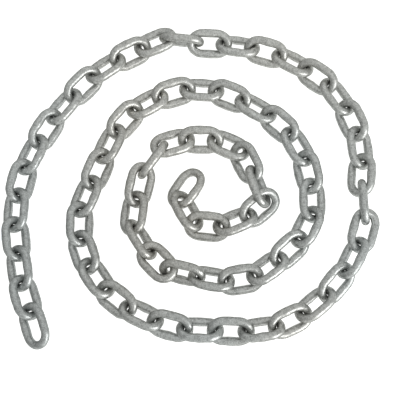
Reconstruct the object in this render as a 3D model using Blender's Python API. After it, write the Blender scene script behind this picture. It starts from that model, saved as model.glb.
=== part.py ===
"""Length of galvanised round-steel chain, laid flat on the floor in an open spiral.

Lengths are in millimetres until a mesh or a place is written, which is in metres. +Z is up,
+X runs to the right across the spiral, and link 1 is the loose end in the middle. Each link
is one welded ring of round wire. A link leans to one side and the next link leans to the
other, so that each passes through its neighbour's eye and rests on one of its own legs.
"""

import math

import bmesh
import bpy
import numpy as np
from mathutils import Matrix, Vector

# The chain: 72 links with 29 mm pitch make a length of 2.1 metres.
WIRE_DIAMETER = 8.0
INNER_LENGTH = 29.0
OUTER_WIDTH = 28.8
LINK_COUNT = 72

# From this link on, two links share one object and are joined where they bear.
FIRST_PAIRED_LINK = 49

# How a link is faceted: sides of the wire, and where each bend's straight stretches touch it.
WIRE_SIDES = 8
TANGENTS_DEG = (-90.0, -72.0, -36.0, 0.0, 36.0, 72.0, 90.0)

# How the links lie. A lean is the angle from lying flat, positive with the outer leg up.
RESTING_LEAN_DEG = 36.0
STANDING_LINKS = (6, 11, 14, 49, 59)
OWN_LEANS_DEG = {
    1: -19.0, 2: 41.0, 3: -39.0, 4: 44.0, 5: -24.0, 6: 122.0, 7: 36.0, 8: -26.0, 9: 54.0,
    10: -22.0, 11: 103.0, 12: 40.0, 13: -31.0, 14: 63.0, 15: 0.0, 16: -56.0, 17: 39.0,
    32: -40.0, 34: -40.0, 39: 41.0, 47: 57.0, 48: -8.0, 49: 104.0, 50: 44.0, 51: -24.0,
    55: -31.0, 57: -31.0, 59: 112.0, 60: -23.0, 62: -31.0, 68: -39.0, 70: -39.0,
}

# The route over the floor, (x, y): the eye of the inner loose end, then where each link holds
# the next, and last the eye of the outer loose end.
ROUTE = (
    (-6, 21), (-21, 0), (-7, -27), (19, -30), (48, -16.5), (63, -2), (51, 23.5), (38.5, 48.5),
    (17.5, 57.5), (-13, 59.5), (-39, 51), (-56.5, 25.5), (-61.5, -2.5), (-65.5, -29.5),
    (-49.5, -53.5), (-32, -71.5), (-3, -77), (25, -81), (52, -77.5), (75, -59), (96, -40.5),
    (108, -17.5), (107, 10.5), (102, 39), (88, 65), (67, 84), (42, 98), (16, 109.5),
    (-14, 111.5), (-42, 101.5), (-64.5, 89), (-81.5, 69.5), (-93.5, 42.5), (-104, 15),
    (-116.5, -12.5), (-115, -41), (-106, -65.5), (-90, -89.5), (-67.5, -106.5), (-44, -118.5),
    (-17.5, -126.5), (11.5, -126.5), (41, -129.5), (70.5, -127), (96.5, -114), (120.5, -94.5),
    (140, -70), (152.5, -43), (159, -17.5), (154.5, 8.5), (156.5, 37), (154, 65), (143, 90.5),
    (127, 116), (103, 132), (79, 146), (51, 153.5), (25, 157.5), (-4, 159), (-34, 163.5),
    (-55, 155), (-81, 142.5), (-105, 126.5), (-126, 103), (-144, 81), (-157.5, 57),
    (-171, 29.5), (-176, 1.5), (-177.5, -27.5), (-172.5, -55.5), (-168.5, -83.5),
    (-158.5, -110.5), (-150, -137),
)

# Distance between the wires' centrelines where links bear, just clear of each other, and the
# small bead that bridges the gap between two links of one object.
CLEAR_DISTANCE = 8.4
BEAD_RADIUS = 1.8

# The fitting: rounds, the share of the way to the layout in each, and how far a link drops.
FITTING_STAGES = ((400, 0.02, 0.02), (500, 0.01, 0.02), (300, 0.004, 0.01))
CLOSING_ROUNDS = 400
LARGEST_TWIST = 0.3
EASE = 1.3
LOOSE_BY = 0.02

WIRE_RADIUS = WIRE_DIAMETER / 2
BEND_RADIUS = (OUTER_WIDTH - WIRE_DIAMETER) / 2
HALF_STRAIGHT = (INNER_LENGTH + WIRE_DIAMETER) / 2 - BEND_RADIUS

# The eight-sided wire has the area of the round one.
SIDE_ANGLE = 2 * math.pi / WIRE_SIDES
SECTION_RADIUS = WIRE_RADIUS * math.sqrt(SIDE_ANGLE / math.sin(SIDE_ANGLE))

MILLIMETRE = 0.001


def link_stations():
    """The corners of a link's centreline, each with its outward direction and stretch."""
    corners, outward, stretches = [], [], []
    for end_deg in (0.0, 180.0):
        end = math.radians(end_deg)
        for before, after in zip(TANGENTS_DEG, TANGENTS_DEG[1:]):
            middle = math.radians(end_deg + (before + after) / 2)
            stretch = 1 / math.cos(math.radians(after - before) / 2)
            direction = np.array([math.cos(middle), math.sin(middle), 0.0])
            centre = np.array([HALF_STRAIGHT * math.cos(end), 0.0, 0.0])
            corners.append(centre + BEND_RADIUS * stretch * direction)
            outward.append(direction)
            stretches.append(stretch)
    return np.array(corners), np.array(outward), np.array(stretches)


def link_mesh():
    """One link about its own middle: +X along it, +Y across it, in metres."""
    shape = bmesh.new()
    rings = []
    for corner, outward, stretch in zip(*link_stations()):
        normal = Vector((0.0, 0.0, 1.0))
        across = Vector(outward)
        frame = Matrix((across * stretch, normal, across.cross(normal))).transposed().to_4x4()
        frame.translation = Vector(corner)
        half_side = Matrix.Rotation(SIDE_ANGLE / 2, 4, "Z")
        made = bmesh.ops.create_circle(
            shape, segments=WIRE_SIDES, radius=SECTION_RADIUS, matrix=frame @ half_side
        )
        rings.append({edge for vertex in made["verts"] for edge in vertex.link_edges})
    for ring, following in zip(rings, rings[1:] + rings[:1]):
        bmesh.ops.bridge_loops(shape, edges=list(ring | following))
    bmesh.ops.recalc_face_normals(shape, faces=shape.faces)
    bmesh.ops.scale(shape, vec=(MILLIMETRE,) * 3, verts=shape.verts)
    mesh = bpy.data.meshes.new("link")
    shape.to_mesh(mesh)
    shape.free()
    mesh.shade_smooth()
    return mesh


def wanted_leans():
    """The links' leans: side to side by turns, where a standing link takes a turn and turns back."""
    leans, side = [], 1
    for number in range(1, LINK_COUNT + 1):
        side = -side
        leans.append(math.radians(OWN_LEANS_DEG.get(number, side * RESTING_LEAN_DEG)))
        if number in STANDING_LINKS:
            side = -side
    return np.array(leans)


def turned(rotations, turns):
    """The rotations after small turns, each a vector along its axis."""
    angles = np.linalg.norm(turns, axis=1)
    axes = turns / np.maximum(angles, 1e-12)[:, None]
    cosines, sines = np.cos(angles)[:, None, None], np.sin(angles)[:, None, None]
    columns = np.swapaxes(rotations, 1, 2)
    across = np.cross(axes[:, None, :], columns)
    along = np.sum(axes[:, None, :] * columns, axis=2, keepdims=True) * axes[:, None, :]
    columns = columns * cosines + across * sines + along * (1 - cosines)
    ahead = columns[:, 0] / np.linalg.norm(columns[:, 0], axis=1)[:, None]
    normal = np.cross(ahead, columns[:, 1])
    normal /= np.linalg.norm(normal, axis=1)[:, None]
    return np.stack([ahead, np.cross(normal, ahead), normal], axis=2)


def nearest_shares(start_a, side_a, start_b, side_b):
    """How far along two straight stretches they come closest, as shares of each."""
    apart = start_a - start_b
    a, e = np.sum(side_a * side_a, -1), np.sum(side_b * side_b, -1)
    b, c, f = np.sum(side_a * side_b, -1), np.sum(side_a * apart, -1), np.sum(side_b * apart, -1)
    s = np.clip((b * f - c * e) / np.maximum(a * e - b * b, 1e-9), 0, 1)
    t = np.clip((b * s + f) / e, 0, 1)
    return np.clip((b * t - c) / a, 0, 1), t


class Layout:
    """The places and rotations of the links, fitted until each bears on the next."""

    def __init__(self):
        points = np.array(ROUTE, float)
        flat = np.zeros(LINK_COUNT)
        steps = np.diff(points, axis=0)
        steps /= np.linalg.norm(steps, axis=1)[:, None]
        self.ring = link_stations()[0]
        self.leans = wanted_leans()
        self.goals = (points[1:] + points[:-1]) / 2
        self.headings = np.column_stack([steps, flat])
        self.outward = np.column_stack([steps[:, 1], -steps[:, 0], flat])
        rise = np.full(LINK_COUNT, WIRE_RADIUS + BEND_RADIUS)
        self.places = np.column_stack([self.goals, rise])
        side = self.outward * np.cos(self.leans)[:, None]
        side[:, 2] += np.sin(self.leans)
        self.rotations = np.stack([self.headings, side, np.cross(self.headings, side)], axis=2)
        links = np.arange(LINK_COUNT)
        self.first = np.concatenate([links[:-1], links[:-2]])
        self.second = np.concatenate([links[1:], links[2:]])
        self.bearing = self.second - self.first == 1
        reach = HALF_STRAIGHT + BEND_RADIUS
        self.spread = np.array([BEND_RADIUS**2, reach**2, reach**2 + BEND_RADIUS**2]) / 2

    def corners(self):
        """The corners of every link's centreline."""
        return self.places[:, None, :] + self.ring @ np.swapaxes(self.rotations, 1, 2)

    def turn_from(self, links, arms, shifts):
        """The turns that shifts at the ends of the arms give the links."""
        moments = np.cross(arms, shifts)
        local = np.einsum("kji,kj->ki", self.rotations[links], moments) / self.spread
        return np.einsum("kij,kj->ki", self.rotations[links], local)

    def approach(self, share, drop):
        """Moves each link a share of the way to its own place, heading and lean, and lowers it."""
        self.places[:, :2] += share * (self.goals - self.places[:, :2])
        self.places[:, 2] -= drop
        ahead, side = self.rotations[:, :, 0], self.rotations[:, :, 1]
        lean = np.arctan2(side[:, 2], np.sum(side * self.outward, axis=1))
        twist = share * np.clip(self.leans - lean, -LARGEST_TWIST, LARGEST_TWIST)
        turns = share * np.cross(ahead, self.headings) - ahead * twist[:, None]
        self.rotations = turned(self.rotations, turns)

    def closest(self):
        """Points on the wires of each pair of links where their stretches come closest."""
        corners = self.corners()
        sides = np.roll(corners, -1, axis=1) - corners
        start_a, side_a = corners[self.first][:, :, None, :], sides[self.first][:, :, None, :]
        start_b, side_b = corners[self.second][:, None, :, :], sides[self.second][:, None, :, :]
        s, t = nearest_shares(start_a, side_a, start_b, side_b)
        return start_a + s[..., None] * side_a, start_b + t[..., None] * side_b

    def ease_apart(self, closing):
        """Moves links that are too near each other or the floor, and closes loose bearings."""
        corners = self.corners()
        on_first, on_second = self.closest()
        apart = on_first - on_second
        distance = np.linalg.norm(apart, axis=-1)
        pair, i, j = np.nonzero(distance < CLEAR_DISTANCE)
        if closing:
            flat = distance.reshape(len(distance), -1)
            nearest = flat.argmin(axis=1)
            loose = np.nonzero(self.bearing & (flat.min(axis=1) > CLEAR_DISTANCE + LOOSE_BY))[0]
            pair = np.concatenate([pair, loose])
            i = np.concatenate([i, nearest[loose] // len(self.ring)])
            j = np.concatenate([j, nearest[loose] % len(self.ring)])
        lacking = CLEAR_DISTANCE - distance[pair, i, j]
        normals = apart[pair, i, j] / distance[pair, i, j][:, None]
        ends = (
            (self.first[pair], on_first[pair, i, j] - self.places[self.first[pair]], 1),
            (self.second[pair], on_second[pair, i, j] - self.places[self.second[pair]], -1),
        )
        give = 2 + sum(
            np.sum(np.cross(self.turn_from(links, arms, normals), arms) * normals, axis=1)
            for links, arms, _ in ends
        )
        shifts = normals * (lacking / give)[:, None]
        moves, turns = np.zeros((LINK_COUNT, 3)), np.zeros((LINK_COUNT, 3))
        touches = np.zeros(LINK_COUNT)
        for links, arms, way in ends:
            np.add.at(moves, links, way * shifts)
            np.add.at(turns, links, way * self.turn_from(links, arms, shifts))
            np.add.at(touches, links, 1)
        low, corner = np.nonzero(corners[:, :, 2] < WIRE_RADIUS)
        arms = corners[low, corner] - self.places[low]
        upward = np.tile([0.0, 0.0, 1.0], (len(low), 1))
        give = 1 + np.cross(self.turn_from(low, arms, upward), arms)[:, 2]
        shifts = upward * ((WIRE_RADIUS - corners[low, corner, 2]) / give)[:, None]
        np.add.at(moves, low, shifts)
        np.add.at(turns, low, self.turn_from(low, arms, shifts))
        np.add.at(touches, low, 1)
        share = (EASE / np.maximum(touches, 1))[:, None]
        self.places += moves * share
        self.rotations = turned(self.rotations, turns * share)

    def fit(self):
        """Brings the links to the layout, then leaves them just clear of each other."""
        for rounds, share, drop in FITTING_STAGES:
            for _ in range(rounds):
                self.approach(share, drop)
                self.ease_apart(closing=False)
        for _ in range(CLOSING_ROUNDS):
            self.ease_apart(closing=True)

    def origin(self, mesh):
        """The point on the floor under the middle of the whole chain, in metres."""
        points = np.array([vertex.co for vertex in mesh.vertices])
        placed = points @ np.swapaxes(self.rotations, 1, 2)
        everything = self.places[:, None, :] * MILLIMETRE + placed
        low, high = everything.min(axis=(0, 1)), everything.max(axis=(0, 1))
        return np.array([(low[0] + high[0]) / 2, (low[1] + high[1]) / 2, low[2]])

    def matrices(self, mesh):
        """Each link's placement in metres."""
        placed = []
        for place, rotation in zip(self.places * MILLIMETRE - self.origin(mesh), self.rotations):
            placed.append(Matrix.Translation(Vector(place)) @ Matrix(rotation.tolist()).to_4x4())
        return placed

    def touching_points(self, mesh):
        """Where each link bears on the next, in metres."""
        on_first, on_second = (points[self.bearing] for points in self.closest())
        distance = np.linalg.norm(on_first - on_second, axis=-1).reshape(LINK_COUNT - 1, -1)
        nearest = distance.argmin(axis=1)
        links = np.arange(LINK_COUNT - 1)
        middles = ((on_first + on_second) / 2).reshape(LINK_COUNT - 1, -1, 3)[links, nearest]
        return middles * MILLIMETRE - self.origin(mesh)


def galvanised_steel():
    """The dull zinc-grey steel that every link is made of."""
    material = bpy.data.materials.new("galvanised_steel")
    material.use_nodes = True
    shader = material.node_tree.nodes["Principled BSDF"]
    shader.inputs["Base Color"].default_value = (0.42, 0.43, 0.42, 1.0)
    shader.inputs["Metallic"].default_value = 1.0
    shader.inputs["Roughness"].default_value = 0.45
    return material


def place_link(name, mesh, matrix, parent):
    """Adds a link or a bead as an object of its own."""
    link = bpy.data.objects.new(name, mesh)
    bpy.context.collection.objects.link(link)
    link.parent = parent
    link.location = matrix.to_translation()
    link.rotation_euler = matrix.to_euler()
    return link


def bead_mesh():
    """The bead that joins two links of one object where they bear, in metres."""
    shape = bmesh.new()
    bmesh.ops.create_icosphere(shape, subdivisions=1, radius=BEAD_RADIUS * MILLIMETRE)
    mesh = bpy.data.meshes.new("bead")
    shape.to_mesh(mesh)
    shape.free()
    return mesh


def fuse(link, guide):
    """Joins a guide's shape to a link, so that both are one body."""
    guide.hide_render = True
    guide.display_type = "WIRE"
    union = link.modifiers.new("bearing", "BOOLEAN")
    union.operation = "UNION"
    union.object = guide


def main():
    for shape in list(bpy.data.objects):
        bpy.data.objects.remove(shape)
    mesh = link_mesh()
    mesh.materials.append(galvanised_steel())
    layout = Layout()
    layout.fit()
    spiral = bpy.data.objects.new("spiral", None)
    bpy.context.collection.objects.link(spiral)
    matrices, touching = layout.matrices(mesh), layout.touching_points(mesh)
    bead = bead_mesh()
    for number in range(1, FIRST_PAIRED_LINK):
        place_link(f"link_{number:02d}", mesh, matrices[number - 1], spiral)
    for number in range(FIRST_PAIRED_LINK, LINK_COUNT, 2):
        name = f"links_{number:02d}_{number + 1:02d}"
        bearing = Matrix.Translation(Vector(touching[number - 1]))
        link = place_link(name, mesh, matrices[number - 1], spiral)
        fuse(link, place_link(f"{name}_bead", bead, bearing, spiral))
        fuse(link, place_link(f"{name}_guide", mesh, matrices[number], spiral))


if __name__ == "__main__":
    main()
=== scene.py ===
"""A length of galvanised steel chain on a pale floor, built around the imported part.

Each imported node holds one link, or two that bear on each other.
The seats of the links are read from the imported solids.
A smooth welded link is built in each seat.
"""

import logging
import math
import random
from dataclasses import dataclass, field
from enum import Enum

import bmesh
import bpy
import numpy as np
from mathutils import Matrix, Vector, noise


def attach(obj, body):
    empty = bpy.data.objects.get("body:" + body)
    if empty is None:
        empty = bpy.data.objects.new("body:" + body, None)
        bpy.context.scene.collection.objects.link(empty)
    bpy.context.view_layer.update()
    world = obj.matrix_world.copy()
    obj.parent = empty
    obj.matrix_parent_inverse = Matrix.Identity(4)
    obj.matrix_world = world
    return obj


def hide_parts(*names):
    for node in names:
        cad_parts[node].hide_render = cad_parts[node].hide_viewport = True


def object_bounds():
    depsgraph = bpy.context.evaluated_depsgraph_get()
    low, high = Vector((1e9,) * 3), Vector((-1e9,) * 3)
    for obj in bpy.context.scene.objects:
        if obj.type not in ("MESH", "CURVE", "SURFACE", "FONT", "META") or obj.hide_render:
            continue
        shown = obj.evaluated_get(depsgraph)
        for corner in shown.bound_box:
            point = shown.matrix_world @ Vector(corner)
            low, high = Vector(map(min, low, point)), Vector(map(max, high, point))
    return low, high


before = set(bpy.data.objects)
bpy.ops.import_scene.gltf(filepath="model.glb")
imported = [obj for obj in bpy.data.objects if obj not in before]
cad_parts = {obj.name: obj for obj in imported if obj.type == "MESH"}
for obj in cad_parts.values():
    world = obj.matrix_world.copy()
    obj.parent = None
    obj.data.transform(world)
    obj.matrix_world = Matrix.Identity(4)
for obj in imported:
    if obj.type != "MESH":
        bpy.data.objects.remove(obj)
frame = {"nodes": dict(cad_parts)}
packed_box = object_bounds()

log = logging.getLogger("chain")

MM = 0.001
WHITE = (1.0, 1.0, 1.0, 1.0)

# A mix of two colours has sockets of the same names for every kind of data, so it goes by number.
MIX_SHARE = 0
MIX_FIRST = 6
MIX_SECOND = 7
MIX_RESULT = 2


def linear_colour(code: str) -> tuple[float, float, float, float]:
    """Turn an sRGB hex colour to linear light.

    Args:
        code: six hex digits, red, green and blue.

    Returns:
        Red, green, blue and an alpha of one, as a shader socket takes them.
    """
    shares = [int(code[i : i + 2], 16) / 255 for i in (0, 2, 4)]
    light = [s / 12.92 if s <= 0.04045 else ((s + 0.055) / 1.055) ** 2.4 for s in shares]
    return (*light, 1.0)


def add_node(
    tree: bpy.types.NodeTree,
    kind: str,
    settings: dict[str, object] | None = None,
    values: dict[str | int, object] | None = None,
    links: dict[str | int, bpy.types.NodeSocket] | None = None,
) -> bpy.types.Node:
    """Add one shader node with its settings, socket values and links.

    Args:
        tree: the material's node tree.
        kind: the node's type name.
        settings: attributes of the node itself.
        values: input sockets and what is typed into them.
        links: input sockets and the output sockets that feed them.

    Returns:
        The new node.
    """
    node = tree.nodes.new(kind)
    for name, value in (settings or {}).items():
        setattr(node, name, value)
    for name, value in (values or {}).items():
        node.inputs[name].default_value = value
    for name, source in (links or {}).items():
        tree.links.new(source, node.inputs[name])
    return node


@dataclass(frozen=True)
class GalvanisedSteel:
    """Hot-dip galvanised steel, spun clear of drips while wet: dull, mottled zinc.

    Zinc crystals give soft light and dark patches a few millimetres across.
    Dross and white bloom give fine specks, and the grey skin makes the shine broad and soft.
    Whole stretches of the chain are a little warmer or cooler than others.
    Some stretches are painted evenly darker: painted shade for uneven light, partly duller zinc.
    """

    bright_zinc: str = "EAEBE9"
    dull_zinc: str = "C5C6C4"
    dross: str = "9E9F9D"
    warm_cast: str = "FDFAF7"
    cool_cast: str = "F6F9FB"
    grazing_tint: str = "B8B8B5"
    dross_at: float = 0.34
    dull_at: float = 0.47
    bright_at: float = 0.66
    pattern_low: float = 0.35
    pattern_high: float = 0.65
    stretch_mm: float = 220.0
    cast_drift: float = 5.75
    painted_shade_drift: float = 3.5
    painted_shade_depth: float = 0.12
    crystal_mm: float = 3.2
    speck_mm: float = 1.2
    speck_share: float = 0.62
    roughness_low: float = 0.28
    roughness_high: float = 0.46
    bump_mm: float = 0.16
    bump_strength: float = 0.6

    def material(self) -> bpy.types.Material:
        """Build the zinc material.

        Returns:
            The material, with patterns on Object coordinates.
        """
        zinc = bpy.data.materials.new("hot_dip_galvanised_steel")
        zinc.use_nodes = True
        tree = zinc.node_tree
        tree.nodes.clear()
        place = add_node(tree, "ShaderNodeTexCoord").outputs["Object"]
        crystals = add_node(
            tree,
            "ShaderNodeTexNoise",
            values={"Scale": 1 / (self.crystal_mm * MM), "Detail": 2.0, "Roughness": 0.55},
            links={"Vector": place},
        ).outputs["Fac"]
        specks = add_node(
            tree,
            "ShaderNodeTexNoise",
            values={"Scale": 1 / (self.speck_mm * MM), "Detail": 3.0, "Roughness": 0.6},
            links={"Vector": place},
        ).outputs["Fac"]
        mottle = add_node(
            tree,
            "ShaderNodeMix",
            settings={"data_type": "FLOAT"},
            values={"Factor": self.speck_share},
            links={"A": crystals, "B": specks},
        ).outputs["Result"]
        tone = add_node(tree, "ShaderNodeValToRGB", links={"Fac": mottle})
        ramp = tone.color_ramp.elements
        ramp[0].position = self.dross_at
        ramp[0].color = linear_colour(self.dross)
        ramp[1].position = self.bright_at
        ramp[1].color = linear_colour(self.bright_zinc)
        middle = ramp.new(self.dull_at)
        middle.color = linear_colour(self.dull_zinc)
        cast = add_node(
            tree,
            "ShaderNodeValToRGB",
            links={"Fac": self.stretches(tree, place, self.cast_drift)},
        )
        ends = cast.color_ramp.elements
        ends[0].position = self.pattern_low
        ends[0].color = linear_colour(self.cool_cast)
        ends[1].position = self.pattern_high
        ends[1].color = linear_colour(self.warm_cast)
        unshaded_zinc = add_node(
            tree,
            "ShaderNodeMix",
            settings={"data_type": "RGBA", "blend_type": "MULTIPLY"},
            values={MIX_SHARE: 1.0},
            links={MIX_FIRST: tone.outputs["Color"], MIX_SECOND: cast.outputs["Color"]},
        ).outputs[MIX_RESULT]
        # Painted shade: whole stretches are darkened a little, standing in for uneven light,
        # partly duller zinc.
        painted_shade = add_node(
            tree,
            "ShaderNodeMapRange",
            values={
                "From Min": self.pattern_low,
                "From Max": self.pattern_high,
                "To Min": 1.0,
                "To Max": 1.0 - self.painted_shade_depth,
            },
            links={"Value": self.stretches(tree, place, self.painted_shade_drift)},
        ).outputs["Result"]
        skin = add_node(
            tree,
            "ShaderNodeMix",
            settings={"data_type": "RGBA", "blend_type": "MULTIPLY"},
            values={MIX_SHARE: 1.0},
            links={MIX_FIRST: unshaded_zinc, MIX_SECOND: painted_shade},
        ).outputs[MIX_RESULT]
        shine = add_node(
            tree,
            "ShaderNodeMapRange",
            values={
                "From Min": self.pattern_low,
                "From Max": self.pattern_high,
                "To Min": self.roughness_high,
                "To Max": self.roughness_low,
            },
            links={"Value": mottle},
        ).outputs["Result"]
        grain = add_node(
            tree,
            "ShaderNodeBump",
            values={"Strength": self.bump_strength, "Distance": self.bump_mm * MM},
            links={"Height": specks},
        ).outputs["Normal"]
        surface = add_node(
            tree,
            "ShaderNodeBsdfPrincipled",
            values={"Metallic": 1.0, "Specular Tint": linear_colour(self.grazing_tint)},
            links={"Base Color": skin, "Roughness": shine, "Normal": grain},
        )
        add_node(
            tree, "ShaderNodeOutputMaterial", links={"Surface": surface.outputs["BSDF"]}
        )
        return zinc

    def stretches(
        self, tree: bpy.types.NodeTree, place: bpy.types.NodeSocket, drift: float
    ) -> bpy.types.NodeSocket:
        """Add a slow pattern, which changes over whole stretches of the chain.

        Args:
            tree: the material's node tree.
            place: the Object coordinates.
            drift: how far up the pattern is taken, in metres, which sets two apart.

        Returns:
            The pattern's value, about a half on average.
        """
        drifted = add_node(
            tree,
            "ShaderNodeMapping",
            values={"Location": (0.0, 0.0, drift)},
            links={"Vector": place},
        ).outputs["Vector"]
        return add_node(
            tree,
            "ShaderNodeTexNoise",
            values={"Scale": 1 / (self.stretch_mm * MM), "Detail": 1.0},
            links={"Vector": drifted},
        ).outputs["Fac"]


@dataclass(frozen=True)
class PaleFloor:
    """A white studio floor with a round white wall, lit from within so that shadows stay faint.

    It shows to the camera alone, so it throws no light back at the chain.
    """

    radius: float = 8.0
    wall_height: float = 6.0
    sides: int = 64
    colour: str = "F4F4F2"
    roughness: float = 0.9
    glow: float = 0.85

    def build(self) -> bpy.types.Object:
        """Build the floor.

        Returns:
            The floor object.
        """
        made = bmesh.new()
        bmesh.ops.create_circle(made, cap_ends=True, segments=self.sides, radius=self.radius)
        rim = [edge for edge in made.edges if edge.is_boundary]
        wall = bmesh.ops.extrude_edge_only(made, edges=rim)["geom"]
        top = [part for part in wall if isinstance(part, bmesh.types.BMVert)]
        bmesh.ops.translate(made, verts=top, vec=(0.0, 0.0, self.wall_height))
        mesh = bpy.data.meshes.new("floor")
        made.to_mesh(mesh)
        made.free()
        floor = bpy.data.objects.new("floor", mesh)
        bpy.context.scene.collection.objects.link(floor)
        paint = bpy.data.materials.new("white_floor")
        paint.use_nodes = True
        shader = paint.node_tree.nodes["Principled BSDF"]
        shader.inputs["Base Color"].default_value = linear_colour(self.colour)
        shader.inputs["Roughness"].default_value = self.roughness
        shader.inputs["Emission Color"].default_value = WHITE
        shader.inputs["Emission Strength"].default_value = self.glow
        mesh.materials.append(paint)
        floor.visible_glossy = False
        floor.visible_diffuse = False
        floor.visible_shadow = False
        return floor


@dataclass(frozen=True)
class Seat:
    """Where a link lies in the shared frame: its middle and its three directions."""

    middle: Vector
    along: Vector
    across: Vector
    face: Vector

    def matrix(self) -> Matrix:
        """Give the transform from a link's own frame to its seat."""
        turn = Matrix((self.along, self.across, self.face)).transposed().to_4x4()
        return Matrix.Translation(self.middle) @ turn


@dataclass(frozen=True)
class SeatFinder:
    """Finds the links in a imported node.

    A link's corners stand in opposite pairs round its middle, which tells them from others.
    """

    match: float = 0.03 * MM
    mirror_match: float = 0.4 * MM
    least_corners: int = 70
    decimals: int = 6
    passes: int = 3

    def seats(self, node: bpy.types.Object) -> list[Seat]:
        """Find every link in one node.

        Args:
            node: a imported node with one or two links.

        Returns:
            A seat for each link.
        """
        corners = np.array([v.co for v in node.data.vertices], float)
        corners = np.unique(np.round(corners, self.decimals), axis=0)
        found = []
        while len(corners) >= self.least_corners:
            middle, mine = self.ring(corners)
            if mine is None:
                break
            found.append(self.seat(corners[mine] - middle, middle))
            corners = corners[~mine]
        return found

    def ring(self, corners: np.ndarray) -> tuple[np.ndarray, np.ndarray | None]:
        """Find one link's middle and its corners.

        Args:
            corners: the corners not yet given to a link.

        Returns:
            The middle, and a mask of the corners that pair up round it, or None.
        """
        for start in corners:
            for other in corners:
                middle = (start + other) / 2
                images = 2 * middle - corners
                gaps = np.abs(images[:, None, :] - corners[None, :, :]).max(2)
                paired = gaps.min(1) < self.match
                if paired.sum() >= self.least_corners:
                    return middle, paired
        return corners.mean(0), None

    def seat(self, ring: np.ndarray, middle: np.ndarray) -> Seat:
        """Turn a link's corners to its seat.

        Args:
            ring: the corners, measured from the link's middle.
            middle: the link's middle.

        Returns:
            The link's seat.
        """
        kept = ring
        for _ in range(self.passes):
            axes = np.linalg.eigh(kept.T @ kept)[1][:, ::-1]
            kept = self.symmetric(ring, axes)
        along, across = (self.pointed(axes[:, i]) for i in (0, 1))
        return Seat(Vector(middle), along, across, along.cross(across))

    def pointed(self, axis: np.ndarray) -> Vector:
        """Give the axis the sign that makes its largest share positive."""
        return Vector(axis * (1 if axis[np.abs(axis).argmax()] > 0 else -1))

    def symmetric(self, ring: np.ndarray, axes: np.ndarray) -> np.ndarray:
        """Keep the corners that have all their mirror images.

        Args:
            ring: the corners, measured from the link's middle.
            axes: the link's long, wide and thin directions as columns.

        Returns:
            The corners kept.
        """
        own = ring @ axes
        kept = np.ones(len(own), bool)
        for axis in range(3):
            image = own.copy()
            image[:, axis] *= -1
            gaps = np.linalg.norm(image[:, None, :] - own[None, :, :], axis=2)
            kept &= gaps.min(1) < self.mirror_match
        return ring[kept]


class WeldedLeg(Enum):
    """The leg that carries a link's butt weld."""

    LEFT = -1
    RIGHT = 1


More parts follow.
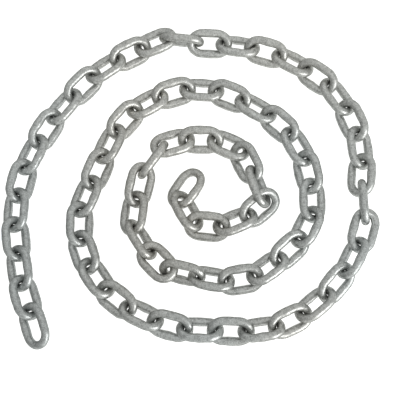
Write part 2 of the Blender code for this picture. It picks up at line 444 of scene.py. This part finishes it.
@dataclass
class RoundLink:
    """One link bent from round wire and butt welded on a leg."""

    wire: float = 8.0 * MM
    inner_length: float = 29.0 * MM
    outer_width: float = 28.8 * MM
    wire_sides: int = 24
    bend_steps: int = 20
    leg_steps: int = 16
    leg_fullness: float = 0.16 * MM
    leg_bow: float = 0.12 * MM
    shoulder_draw: float = 0.32 * MM
    shoulder_deg: float = 26.0
    shoulder_spread_deg: float = 20.0
    weld_fullness: float = 0.22 * MM
    weld_reach: float = 3.2 * MM
    lump_height: float = 0.16 * MM
    lump_size: float = 6.0 * MM
    pimple_height: float = 0.45 * MM
    pimple_size: float = 2.2 * MM
    pimple_share: float = 0.42
    zinc_drift: tuple[float, float, float] = (0.37, 0.61, 0.23)
    merge_gap: float = 0.01 * MM

    @property
    def bend_radius(self) -> float:
        """Give the radius of the wire's centre line in the end bends."""
        return (self.outer_width - self.wire) / 2

    @property
    def half_leg(self) -> float:
        """Give half the straight length of a leg."""
        return (self.inner_length + self.wire) / 2 - self.bend_radius

    def ring(self) -> bmesh.types.BMesh:
        """Sweep the round wire once round the link.

        Returns:
            The closed ring, in the link's own frame.
        """
        made = bmesh.new()
        stand = Matrix.Rotation(math.radians(90), 4, "Y")
        start = Matrix.Translation((-self.half_leg, -self.bend_radius, 0.0)) @ stand
        section = bmesh.ops.create_circle(
            made, cap_ends=False, segments=self.wire_sides, radius=self.wire / 2, matrix=start
        )["verts"]
        edge = list(dict.fromkeys(line for vert in section for line in vert.link_edges))
        for side in (1, -1):
            for _ in range(self.leg_steps):
                grown = bmesh.ops.extrude_edge_only(made, edges=edge)["geom"]
                edge = [
                    part
                    for part in grown
                    if isinstance(part, bmesh.types.BMEdge) and part.is_boundary
                ]
                moved = list(dict.fromkeys(vert for line in edge for vert in line.verts))
                step = 2 * self.half_leg / self.leg_steps * side
                bmesh.ops.translate(made, verts=moved, vec=(step, 0.0, 0.0))
            turned = bmesh.ops.spin(
                made,
                geom=edge,
                cent=(self.half_leg * side, 0.0, 0.0),
                axis=(0.0, 0.0, 1.0),
                angle=math.pi,
                steps=self.bend_steps,
            )["geom_last"]
            edge = [part for part in turned if isinstance(part, bmesh.types.BMEdge)]
        bmesh.ops.remove_doubles(made, verts=made.verts, dist=self.merge_gap)
        bmesh.ops.recalc_face_normals(made, faces=made.faces)
        return made

    def weather(self, made: bmesh.types.BMesh, weld: WeldedLeg, seed: int) -> None:
        """Fill out the legs, raise the weld and lay uneven zinc on the ring.

        Args:
            made: the ring, changed in place.
            weld: the leg that carries the weld.
            seed: a number that gives each link its own zinc.
        """
        drift = Vector([seed * share for share in self.zinc_drift])
        for vert in made.verts:
            x, y, _ = vert.co
            centre = self.centre_line(vert.co)
            out = (vert.co - centre).normalized()
            bow = self.bow(vert.co)
            grown = self.lump_height * noise.noise(vert.co / self.lump_size + drift)
            pimple = noise.noise(vert.co / self.pimple_size - drift) - self.pimple_share
            grown += self.pimple_height * max(0.0, pimple)
            if abs(x) < self.half_leg:
                share = math.cos(math.pi / 2 * x / self.half_leg)
                grown += self.leg_fullness * share
                if y * weld.value > 0:
                    grown += self.weld_fullness * math.exp(-((x / self.weld_reach) ** 2))
            vert.co += out * grown + bow

    def bow(self, point: Vector) -> Vector:
        """Give how far the wire stands off a plain stadium, as bending leaves it a little oval.

        Args:
            point: a point on the ring.

        Returns:
            The shift at that point, in the link's plane.
        """
        end = max(-self.half_leg, min(self.half_leg, point.x))
        away = Vector((point.x - end, point.y, 0.0)).normalized()
        turned = math.degrees(math.atan2(abs(away.x), abs(away.y)))
        if abs(point.x) < self.half_leg:
            turned = (abs(point.x) / self.half_leg - 1) * self.shoulder_spread_deg
        swing = min(90.0, max(0.0, turned + self.shoulder_spread_deg))
        full = self.leg_bow * math.cos(math.radians(swing))
        drawn = math.exp(-(((turned - self.shoulder_deg) / self.shoulder_spread_deg) ** 2))
        return away * (full - self.shoulder_draw * drawn)

    def centre_line(self, point: Vector) -> Vector:
        """Give the nearest point of the wire's centre line.

        Args:
            point: a point on the ring.

        Returns:
            The point on the centre line that faces it.
        """
        end = max(-self.half_leg, min(self.half_leg, point.x))
        away = Vector((point.x - end, point.y, 0.0))
        return Vector((end, 0.0, 0.0)) + away.normalized() * self.bend_radius


@dataclass
class ChainLength:
    """The whole length of chain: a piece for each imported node, with its links in their seats."""

    link: RoundLink
    steel: bpy.types.Material
    finder: SeatFinder = field(default_factory=SeatFinder)
    seed: int = 7

    def build(self, nodes: dict[str, bpy.types.Object]) -> list[bpy.types.Object]:
        """Build the pieces of the chain.

        Args:
            nodes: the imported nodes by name.

        Returns:
            The pieces, in the order of the nodes' names.
        """
        return [self.piece(name, nodes[name], i) for i, name in enumerate(sorted(nodes))]

    def piece(self, name: str, node: bpy.types.Object, place: int) -> bpy.types.Object:
        """Build the piece that stands for one node.

        Args:
            name: the node's name.
            node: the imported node.
            place: the node's number along the chain.

        Returns:
            The piece, riding on its body.
        """
        seats = self.finder.seats(node)
        made = bmesh.new()
        for i, seat in enumerate(seats):
            self.add_link(made, seat, self.seed + 2 * place + i)
        mesh = bpy.data.meshes.new(f"round_{name}")
        made.to_mesh(mesh)
        made.free()
        for face in mesh.polygons:
            face.use_smooth = True
        mesh.materials.append(self.steel)
        piece = bpy.data.objects.new(f"round_{name}", mesh)
        bpy.context.scene.collection.objects.link(piece)
        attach(piece, "root")
        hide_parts(name)
        log.info("%s: %d link(s), %d faces", piece.name, len(seats), len(mesh.polygons))
        return piece

    def add_link(self, made: bmesh.types.BMesh, seat: Seat, seed: int) -> None:
        """Add one link to a piece.

        Args:
            made: the piece's mesh so far.
            seat: where the link lies.
            seed: the link's own number.
        """
        chance = random.Random(seed)
        ring = self.link.ring()
        self.link.weather(ring, chance.choice(list(WeldedLeg)), seed)
        bmesh.ops.transform(ring, matrix=seat.matrix(), verts=ring.verts)
        for vert in ring.verts:
            vert.co.z = min(max(vert.co.z, packed_box[0][2]), packed_box[1][2])
        shape = bpy.data.meshes.new("link")
        ring.to_mesh(shape)
        ring.free()
        made.from_mesh(shape)
        bpy.data.meshes.remove(shape)


@dataclass(frozen=True)
class StudioLight:
    """Soft light: a wide low panel in front to the right, and a room that is duller to the left.

    The room's two side walls are duller too.
    The floor shows to the camera alone, so the room's lower half stands for what it throws up.
    """

    panel_direction_deg: float = -42.0
    panel_elevation_deg: float = 22.0
    panel_distance: float = 1.3
    panel_width: float = 0.8
    panel_height: float = 0.8
    panel_power: float = 5.8
    room_dull: float = 0.412
    room_bright: float = 0.824
    room_bright_side: tuple[float, float, float] = (0.5, 0.2, 0.85)
    room_colour: str = "F6F8F6"
    side_wall_dulling: float = 0.28
    floor_bounce: float = 0.50
    bounce_side: tuple[float, float, float] = (0.3, -0.3, -0.9)
    bounce_start: float = -0.25
    bounce_full: float = 0.6
    aim: tuple[float, float, float] = (0.0, 0.0, 0.01)

    def build(self) -> None:
        """Build the panel and the room light."""
        turn = math.radians(self.panel_direction_deg)
        rise = math.radians(self.panel_elevation_deg)
        away = Vector(
            (math.cos(turn) * math.cos(rise), math.sin(turn) * math.cos(rise), math.sin(rise))
        )
        lamp = bpy.data.lights.new("low_panel", "AREA")
        lamp.shape = "RECTANGLE"
        lamp.size = self.panel_width
        lamp.size_y = self.panel_height
        lamp.energy = self.panel_power
        panel = bpy.data.objects.new("low_panel", lamp)
        panel.location = Vector(self.aim) + away * self.panel_distance
        panel.rotation_mode = "QUATERNION"
        panel.rotation_quaternion = (-away).to_track_quat("-Z", "Y")
        panel.visible_camera = False
        bpy.context.scene.collection.objects.link(panel)
        self.room()

    def room(self) -> None:
        """Build the room light, which changes smoothly from its dull side to its bright side."""
        room = bpy.data.worlds.new("studio")
        room.use_nodes = True
        tree = room.node_tree
        way = add_node(tree, "ShaderNodeTexCoord").outputs["Generated"]
        side = add_node(
            tree,
            "ShaderNodeVectorMath",
            settings={"operation": "DOT_PRODUCT"},
            values={1: Vector(self.room_bright_side).normalized()},
            links={0: way},
        ).outputs["Value"]
        above = add_node(
            tree,
            "ShaderNodeMapRange",
            values={
                "From Min": -1.0,
                "From Max": 1.0,
                "To Min": self.room_dull,
                "To Max": self.room_bright,
            },
            links={"Value": side},
        ).outputs["Result"]
        sideways = add_node(tree, "ShaderNodeSeparateXYZ", links={0: way}).outputs["X"]
        squared = add_node(
            tree,
            "ShaderNodeMath",
            settings={"operation": "MULTIPLY"},
            links={0: sideways, 1: sideways},
        ).outputs["Value"]
        walls = add_node(
            tree,
            "ShaderNodeMath",
            settings={"operation": "MULTIPLY_ADD"},
            values={1: -self.side_wall_dulling, 2: 1.0},
            links={0: squared},
        ).outputs["Value"]
        dulled = add_node(
            tree, "ShaderNodeMath", settings={"operation": "MULTIPLY"}, links={0: above, 1: walls}
        ).outputs["Value"]
        downward = add_node(
            tree,
            "ShaderNodeVectorMath",
            settings={"operation": "DOT_PRODUCT"},
            values={1: Vector(self.bounce_side).normalized()},
            links={0: way},
        ).outputs["Value"]
        below = add_node(
            tree,
            "ShaderNodeMapRange",
            values={
                "From Min": self.bounce_start,
                "From Max": self.bounce_full,
                "To Min": 0.0,
                "To Max": self.floor_bounce,
            },
            links={"Value": downward},
        ).outputs["Result"]
        strength = add_node(
            tree, "ShaderNodeMath", settings={"operation": "ADD"}, links={0: dulled, 1: below}
        ).outputs["Value"]
        sky = tree.nodes["Background"]
        sky.inputs["Color"].default_value = linear_colour(self.room_colour)
        tree.links.new(strength, sky.inputs["Strength"])
        bpy.context.scene.world = room


@dataclass(frozen=True)
class Viewpoint:
    """The photograph's view: from in front and high above the floor."""

    aim: tuple[float, float, float] = (0.0087, -0.0178, 0.010)
    elevation_deg: float = 76.0
    distance: float = 0.983
    lens: float = 92.3
    sensor: float = 36.0
    clip_start: float = 10 * MM

    def build(self) -> bpy.types.Object:
        """Build the camera.

        Returns:
            The camera object, which is the scene's camera.
        """
        rise = math.radians(self.elevation_deg)
        back = Vector((0.0, -math.cos(rise), math.sin(rise)))
        data = bpy.data.cameras.new("camera")
        data.sensor_width = self.sensor
        data.lens = self.lens
        data.clip_start = self.clip_start
        camera = bpy.data.objects.new("camera", data)
        camera.location = Vector(self.aim) + back * self.distance
        camera.rotation_mode = "QUATERNION"
        camera.rotation_quaternion = (-back).to_track_quat("-Z", "Y")
        bpy.context.scene.collection.objects.link(camera)
        bpy.context.scene.camera = camera
        return camera


def main() -> None:
    """Build the chain, the floor, the light and the camera."""
    logging.basicConfig(level=logging.INFO, format="%(message)s")
    scene = bpy.context.scene
    scene.view_settings.view_transform = "Standard"
    steel = GalvanisedSteel().material()
    pieces = ChainLength(RoundLink(), steel).build(frame["nodes"])
    log.info("%d pieces", len(pieces))
    PaleFloor().build()
    StudioLight().build()
    Viewpoint().build()


if __name__ == "__main__":
    main()
